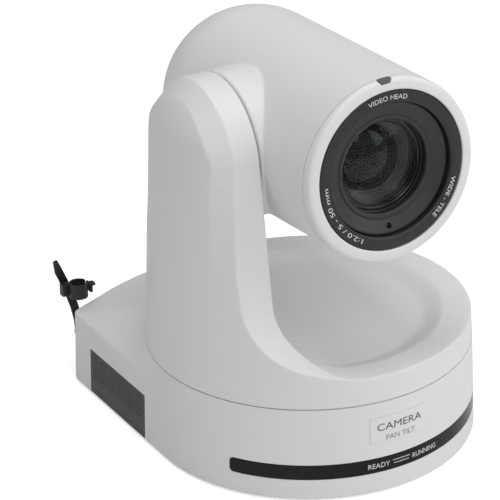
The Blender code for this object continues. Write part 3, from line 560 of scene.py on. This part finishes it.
# ---- turning part -----------------------------------------------------------
def wall_radius(z):
    """Outer wall of the turning part: it leans in a little, and curves in at the arm's top."""
    return PAN_R - PAN_SLOPE * (z - PAN_Z0) - max(0, z - CROWN_Z) ** 2 / (2 * CROWN_R)


def side_profile(inset, low):
    """The turning part seen from the side: disc, flared foot and round-topped arm."""
    reach = 100
    rim = RIM_Z - inset
    centre_z = RIM_Z + FLARE_R
    flare = FLARE_R + inset
    lean = math.degrees(math.atan2(FLARE_Y - FLARE_R - ARM_R, TILT_Z - centre_z))
    top = arc((0, TILT_Z), ARM_R - inset, lean, 180 - lean, 90)
    right = arc((FLARE_Y, centre_z), flare, 270, 180 + lean, 40)
    left = [(-y, z) for y, z in reversed(right)]
    return [(-reach, low), (reach, low), (reach, rim)] + right + top + left + [(-reach, rim)]


def inner_cut(inset):
    """What is taken away between the arm and the right side, seen from the front."""
    x = ARM_X - inset
    z = RIM_Z - inset - 0.4
    r = INNER_R + inset
    corner = arc((x + r, z + r), r, 180, 270, 36)
    return [(x, 260)] + corner + [(120, z), (120, 260)]


def chamfer_form(shift):
    """What the chamfer round the arm's outer edge takes away: a horseshoe that thins out downwards."""
    lean = math.atan2(FLARE_Y - FLARE_R - ARM_R, TILT_Z - RIM_Z - FLARE_R)
    radius = ARM_R - shift + 0.05
    foot = TILT_Z + ARM_R * math.sin(lean)
    side = []
    for k in range(10, 0, -1):
        t = k / 10
        z = foot - t * (foot - CHAMFER_END)
        y = radius / math.cos(lean) + (TILT_Z - z) * math.tan(lean)
        slope = CHAMFER_SLOPE + t * (CHAMFER_FLUSH - CHAMFER_SLOPE)
        crease = CHAMFER_X - t * CHAMFER_DRIFT
        deep = y - slope * (CHAMFER_DEEP + crease - CHAMFER_X)
        side.append([(x, r, z) for x, r in cutter_section(crease, y, deep)])
    arch = []
    for k in range(73):
        angle = lean + (math.pi - 2 * lean) * k / 72
        slope = CHAMFER_SLOPE + CHAMFER_RISE * math.sin(angle) ** 2
        section = cutter_section(CHAMFER_X, radius, radius - slope * CHAMFER_DEEP)
        arch.append([(x, r * math.cos(angle), TILT_Z + r * math.sin(angle)) for x, r in section])
    mirrored = [[(x, -y, z) for x, y, z in ring] for ring in reversed(side)]
    return loft("chamfer", side + arch + mirrored)


def cutter_section(crease, near, deep):
    """Section of the chamfer's cutter, from beside the crease to well outside the arm."""
    return [
        (crease + 1, near + 1.2), (crease, near), (CHAMFER_X - CHAMFER_DEEP, deep),
        (CHAMFER_X - CHAMFER_DEEP - 4, near + 50), (crease + 1, near + 50),
    ]


def dish_depth(x, y):
    """How far the disc's top is hollowed at a point: nothing outside the rim or on the arm's foot."""
    def ease(t):
        t = min(1.0, max(0.0, t))
        return t * t * (3 - 2 * t)

    radius = math.hypot(x, y)
    return DISH_DEPTH * ease((DISH_R - radius) / 13) ** 0.8 * ease((x + 37) / 24)


def pan_solid(inset, low, steps):
    """The turning part's outer form, or its inside at an inset. A higher step count makes finer curves."""
    heights = [CROWN_Z + 1.5 * i for i in range(29, -1, -1)] + [low]
    outline = [(wall_radius(z) - inset, z) for z in heights]
    wall = lathe("wall", [(0, heights[0])] + outline + [(0, low)], steps)
    combine(wall, prism("side", side_profile(inset, low - 5), -130, 130, "X"), "INTERSECT")
    cut(wall, prism("beside", inner_cut(inset), -130, 130, "Y"))
    return cut(wall, chamfer_form(inset))


def hollow(outer, inner):
    """Put the inner skin, turned inside out, into the outer one."""
    inner.data.flip_normals()
    return merge(outer, inner)


def open_end(obj, point, normal):
    """Slice a hollow solid, and close the wall between its outer and its inner skin."""
    bm = bmesh.new()
    bm.from_mesh(obj.data)
    everything = [*bm.verts, *bm.edges, *bm.faces]
    bmesh.ops.bisect_plane(
        bm, geom=everything, dist=1e-4, plane_co=point, plane_no=normal, clear_outer=True
    )
    bmesh.ops.bridge_loops(bm, edges=[e for e in bm.edges if e.is_boundary])
    bm.to_mesh(obj.data)
    bm.free()
    return obj


def punch(obj, radius, low, high):
    """Open a round hole along the tilt axis through both skins, and close its wall."""
    bm = bmesh.new()
    bm.from_mesh(obj.data)
    gone = []
    for face in bm.faces:
        centre = face.calc_center_median()
        if low < centre.x < high and math.hypot(centre.y, centre.z - TILT_Z) < radius:
            gone.append(face)
    bmesh.ops.delete(bm, geom=gone, context="FACES")
    edges = [e for e in bm.edges if e.is_boundary]
    for vertex in {v for e in edges for v in e.verts}:
        away = Vector((0, vertex.co.y, vertex.co.z - TILT_Z)).normalized() * radius
        vertex.co = (vertex.co.x, away.y, away.z + TILT_Z)
    bmesh.ops.bridge_loops(bm, edges=edges)
    bm.to_mesh(obj.data)
    bm.free()
    return obj


def make_pan():
    shell = soften(pan_solid(0, PAN_Z0 - 3, ROUND * 2), 0.75, 2)
    hollow(shell, soften(pan_solid(SKIN, PAN_Z0 - 8, SMALL), 2.0, 2))
    open_end(shell, (0, 0, PAN_Z0), (0, 0, -1))
    punch(shell, 12, -56, -50)
    for vertex in shell.data.vertices:
        x, y, z = vertex.co
        if -38 < x and 60 < z < 90:
            vertex.co.z = z - dish_depth(x, y)
    covers = ["disc_cover", "arm_cover_outer", "arm_cover_inner"]
    finished(shell, "pan_shell", "pan_unit", "white_plastic", covers, sharp=50)


# ---- head -------------------------------------------------------------------
def head_solid(shrink):
    """Barrel with a round rear end, and its boss on the tilt axis."""
    face = ARM_X + 0.95 + shrink
    dome = arc((0, DOME_Y), HEAD_R - shrink, 90, 0, 24)[1:]
    profile = [(0, DOME_Y + HEAD_R - shrink)] + dome
    profile += [(HEAD_FRONT_R - shrink, SEAM_Y - 8), (0, SEAM_Y - 8)]
    solid = lathe("head", profile, ROUND, "Y")
    return join(solid, rod("boss", ARM_R - shrink, face, 0, axis="X", steps=ROUND, edge=0.9))


def make_head():
    shell = soften(head_solid(0), 0.8, 3)
    hollow(shell, soften(head_solid(SKIN), 2.0, 2))
    seam = Vector((0, -1, -SEAM_LEAN)).normalized()
    open_end(shell, (0, SEAM_Y + 0.15, 0), seam)
    finished(shell, "head_cover", "head", "white_plastic", ["head_shell"], place=HEAD_PLACE, sharp=50)

    rear = SEAM_Y - 0.15
    outer = [(RING_R + 0.25, rear + 0.5), (RING_R + 0.25, FRONT_Y + 0.3), (43.4, FRONT_Y),
             (46.4, FRONT_Y + 0.3), (48.4, FRONT_Y + 0.9), (48.95, FRONT_Y + 2.9), (48.97, rear + 0.02),
             (47.6, rear + 0.02)]
    bezel = lathe("bezel", rounded(outer, [0, 0.3, 0.8, 3, 3, 2, 0.15, 0], 6), ROUND, "Y")
    for vertex in bezel.data.vertices:
        if vertex.co.y > SEAM_Y - 1:
            vertex.co.y -= SEAM_LEAN * vertex.co.z
    cut(bezel, tally_tile(0.12, 1))
    finished(bezel, "bezel", "head", "white_plastic", ["front_bezel"], place=HEAD_PLACE, sharp=40)
    finished(tally_tile(0, 0.06), "tally_window", "head", "lamp_lens", ["tally_lamp"],
             "smoked_lens", HEAD_PLACE)


def tally_tile(grow, out):
    """The small curved window at the top of the bezel, on its joint with the barrel."""
    low, high = 87.6 - grow, 96.6 + grow
    rings = []
    for k in range(9):
        t = k / 8
        angle = math.radians(low + (high - low) * t)
        half = (1.9 + grow) * min(1, 0.55 + 2.4 * min(t, 1 - t))
        middle = SEAM_Y - SEAM_LEAN * 49 - 1.3
        spots = ((46.6, -half), (48.9 + out, -half), (49.05 + out, 0), (48.9 + out, half), (46.6, half))
        rings.append([(r * math.cos(angle), middle + y, r * math.sin(angle)) for r, y in spots])
    return loft("tally", rings)


# ---- lens -------------------------------------------------------------------
def make_lens():
    face = FRONT_Y + 0.45
    ring = [(HOOD_R + 0.3, RING_BACK), (HOOD_R + 0.3, face + 0.7), (36.6, face), (41.7, face),
            (RING_R, face + 0.6), (RING_R, RING_BACK)]
    body = lathe("ring", rounded(ring, [0, 0.5, 0.5, 0.4, 0.3, 0], 3), ROUND, "Y")
    finished(body, "text_ring", "head", "black_plastic", ["lens_ring"], place=HEAD_PLACE)

    hood = [(24.6, -70.6), (24.6, -71.6), (25.3, -71.9), (25.3, -73.1), (24.9, -73.4), (24.9, -76.1),
            (25.6, -76.9), (27.2, -77.2), (27.6, -76.7), (28.2, -76.7), (33.6, -79.2), (34.4, -79.5),
            (35.1, -79.5), (35.1, -74.8), (29, -70.6)]
    edges = [0, 0, 0, 0.2, 0.2, 0.3, 0.5, 0.3, 0.2, 0.3, 0.4, 0.3, 0.2, 0, 0]
    cone = lathe("hood", rounded(hood, edges, 3), ROUND, "Y")
    cut(cone, rod("sensor_hole", 1.5, -85, -76.6, (0, EYE_Z), "Y"))
    finished(cone, "hood", "head", "dark_grey_plastic", ["lens_hood"], place=HEAD_PLACE)
    section = [(0, -77.6), (0.9, -77.4), (1.3, -76.8), (1.3, -76.3), (0, -76.3)]
    eye = lathe("eye", rounded(section, [0, 0.3, 0.2, 0, 0], 3)[::-1], 24, "Y", (0, 0, EYE_Z))
    finished(eye, "sensor_eye", "head", "black_window", place=HEAD_PLACE)

    section = [(22.4, -69.4), (22.4, -72.0), (22.9, -72.4), (24.3, -72.4), (24.3, -69.4)]
    retainer = lathe("retainer", rounded(section, [0, 0.25, 0.2, 0.2, 0], 3), ROUND, "Y")
    finished(retainer, "lens_retainer", "head", "black_plastic", mat="black_gloss", place=HEAD_PLACE)
    front = dome(GLASS_R, -71.2, 4.6)
    rear = dome(GLASS_R, -69.0, 2.2)
    glass = lathe("glass", [*front, *rear[::-1]], ROUND, "Y")
    finished(glass, "front_glass", "head", "coated_glass", ["front_lens"], place=HEAD_PLACE, sharp=40)

    steps = []
    for k in range(7):
        r, y = 21.6 - 0.75 * k, -68.6 + 1.35 * k
        steps += [(r, y), (r, y + 1.0), (r - 0.75, y + 1.35)]
    outline = steps + [(23.0, steps[-1][1]), (23.0, -68.6)]
    baffle = lathe("baffle", outline, ROUND, "Y")
    finished(baffle, "lens_baffle", "head", "black_plastic", mat="baffle_black", place=HEAD_PLACE, sharp=20)
    second = lathe("second", [*dome(SECOND_R, -62.4, 4.4), (SECOND_R, -60.4), (0, -60.4)], ROUND, "Y")
    finished(second, "second_element", "head", "coated_glass", mat="inner_glass", place=HEAD_PLACE, sharp=40)
    marks = ring_text("VIDEO HEAD", 91, 17, face)
    merge(marks, ring_text("WIDE - TELE", -35, 17, face), ring_text("1:2.0 / 5 - 50 mm", 211, 30, face))
    finished(marks, "ring_marks", "head", "black_plastic", mat="white_ink", place=HEAD_PLACE)


def dome(radius, rim_y, sag, count=16):
    """Profile of a lens face that bulges forwards, from its tip to its rim."""
    return [(radius * i / count, rim_y - sag * (1 - (i / count) ** 2)) for i in range(count + 1)]


def letters(text, width, height, thick=0.08):
    """Flat lettering as a thin solid, centred on the origin and fitted to a width and a capital's height."""
    capital = 0.73
    curve = bpy.data.curves.new("letters", "FONT")
    curve.body = text
    curve.extrude = 0.01
    curve.resolution_u = 3
    obj = bpy.data.objects.new("letters", curve)
    scene_root.objects.link(obj)
    graph = bpy.context.evaluated_depsgraph_get()
    mesh = bpy.data.meshes.new_from_object(obj.evaluated_get(graph))
    bpy.data.objects.remove(obj)
    bm = bmesh.new()
    bm.from_mesh(mesh)
    bmesh.ops.remove_doubles(bm, verts=bm.verts, dist=1e-5)
    xs = [v.co.x for v in bm.verts]
    for v in bm.verts:
        x = ((v.co.x - min(xs)) / (max(xs) - min(xs)) - 0.5) * width
        y = (v.co.y / capital - 0.5) * height
        v.co = (x, y, thick / 2 if v.co.z > 0 else -thick / 2)
    return put(bm, "letters")


def bend(obj, spot):
    """Move every vertex to where spot puts it."""
    for vertex in obj.data.vertices:
        vertex.co = spot(*vertex.co)
    return obj


def ring_text(text, centre, half_span, face):
    """Lettering round the lens ring, at an angle and over an angle."""
    def spot(x, y, z):
        angle = math.radians(centre) - x / TEXT_R
        r = TEXT_R + y
        return (r * math.cos(angle), face - z, r * math.sin(angle))

    return bend(letters(text, 2 * math.radians(half_span) * TEXT_R, TEXT_HEIGHT), spot)


def wall_text(text, centre, level, width, height, out=0.1):
    """Lettering on the round front of the base, at an angle from its middle and a height."""
    def spot(x, y, z):
        angle = math.radians(centre - 90) + x / BASE_R
        r = base_radius(level + y) + out + z
        return (r * math.cos(angle), r * math.sin(angle), level + y)

    return bend(letters(text, width, height), spot)


def make_marks():
    words = wall_text("READY", -7.1, 16.9, 12.6, 3.0)
    merge(words, wall_text("RUNNING", 11.4, 16.9, 16.8, 3.0))
    finished(words, "strip_marks", "base", "black_window", mat="white_ink")
    large = wall_text("CAMERA", 1.2, 39.2, 28.0, 4.3, 0.14)
    finished(large, "badge_mark_large", "base", "white_plastic", mat="grey_ink")
    small = wall_text("PAN TILT", 1.4, 32.6, 18.0, 3.1, 0.14)
    finished(small, "badge_mark_small", "base", "white_plastic", mat="pale_ink")


def make_label():
    """The side label: a film, and rows of plain dashes in place of lettering."""
    film = side_plate("film", 0, 0.05, 0.4)
    finished(film, "side_label", "base", "label_film", ["rating_label"])
    rows = []
    low, high = -0.09, 0.1              # the marks reach through the film's face
    for row in range(LABEL_ROWS):
        level = LABEL_TOP - LABEL_PITCH * row
        start = 1.6
        k = 0
        while start < LABEL_LONG - 3:
            length = 1.6 + 2.6 * ((row * 7 + k * 5) % 11) / 10
            stop = min(start + length, LABEL_LONG - 2)
            if (row * 3 + k) % 9:
                rows.append(box("dash", (low, start, level - 0.32), (high, stop, level + 0.32)))
            start = stop + 0.5
            k += 1
    rows.append(box("rule", (low, 1, 8.6), (high, LABEL_LONG - 1, 8.85)))
    rows.append(box("code", (low, 50, 2.0), (high, 58, 3.2)))
    marks = merge(*rows)
    marks.data.transform(LABEL_PLACE)
    finished(marks, "label_marks", "base", "label_film", mat="label_ink")


make_base()
make_marks()
make_label()
make_pan()
make_head()
make_lens()

slots = {row["node"]: row["material_slot"] for row in frame["record"]["subparts"]}
for name, node in frame["nodes"].items():
    node.data.materials.clear()
    node.data.materials.append(MATS[slots[name]])


# ---- camera, light, floor ---------------------------------------------------
CAMERA_ANGLES = (-29.70, 26.29, -1.13)          # azimuth, elevation and roll, in degrees
CAMERA_DISTANCE = 1603.42
CAMERA_SIDE, CAMERA_HEIGHT = -30.98, 103.08     # where its line of sight passes the pan axis
FOCAL_SHARE = 2995.95 / 500                     # focal length, as a share of the sensor's width


def make_camera():
    azimuth, elevation, roll = (math.radians(angle) for angle in CAMERA_ANGLES)
    back = Vector((
        math.sin(azimuth) * math.cos(elevation), -math.cos(azimuth) * math.cos(elevation), math.sin(elevation)
    ))
    right = (-back).cross(Vector((0, 0, 1))).normalized()
    up = right.cross(-back)
    right_rolled = right * math.cos(roll) + up * math.sin(roll)
    up_rolled = -right * math.sin(roll) + up * math.cos(roll)
    data = bpy.data.cameras.new("camera")
    data.sensor_width = 36
    data.lens = data.sensor_width * FOCAL_SHARE
    data.clip_start, data.clip_end = 0.1, 30
    camera = bpy.data.objects.new("camera", data)
    scene_root.objects.link(camera)
    turn = Matrix((right_rolled, up_rolled, back)).transposed().to_4x4()
    spot = (back * CAMERA_DISTANCE + right * CAMERA_SIDE + Vector((0, 0, CAMERA_HEIGHT))) * MM
    camera.matrix_world = Matrix.Translation(spot) @ turn
    bpy.context.scene.camera = camera


def area_light(name, at, size, power):
    """A square light of a size and power, turned towards the middle of the object."""
    data = bpy.data.lights.new(name, "AREA")
    data.size = size
    data.energy = power
    light = bpy.data.objects.new(name, data)
    scene_root.objects.link(light)
    light.location = at
    light.rotation_euler = (Vector((0, 0, 0.1)) - Vector(at)).to_track_quat("-Z", "Y").to_euler()


def make_studio():
    """A pale floor, an even white surrounding, and four soft lights."""
    bm = bmesh.new()
    bmesh.ops.create_grid(bm, x_segments=2, y_segments=2, size=6)
    floor = put(bm, "floor")
    tree = Nodes("floor")
    tree.feed("Base Color", tree.ramp(tree.noise(3), 0.3, 0.7, (0.86, 0.86, 0.86), (0.90, 0.90, 0.90)))
    tree.set(Roughness=0.9)
    path = tree.add("ShaderNodeLightPath")
    tree.link(path.outputs["Is Camera Ray"], tree.shader.inputs["Emission Strength"])
    tree.set(Emission_Color=(0.52, 0.52, 0.52, 1))
    floor.data.materials.append(tree.mat)

    world = bpy.data.worlds.new("studio")
    bpy.context.scene.world = world
    world.use_nodes = True
    surround = world.node_tree.nodes["Background"]
    surround.inputs["Color"].default_value = (1, 1, 1, 1)
    surround.inputs["Strength"].default_value = 0.30
    area_light("key", (1.5, -1.3, 1.0), 1.3, 9)
    area_light("front", (-0.3, -1.8, 1.5), 1.2, 10.5)
    area_light("high", (1.0, -0.5, 1.9), 1.0, 6)
    area_light("top", (-0.2, 0.0, 2.0), 1.0, 12)
    bpy.context.scene.view_settings.view_transform = "Standard"


make_camera()
make_studio()
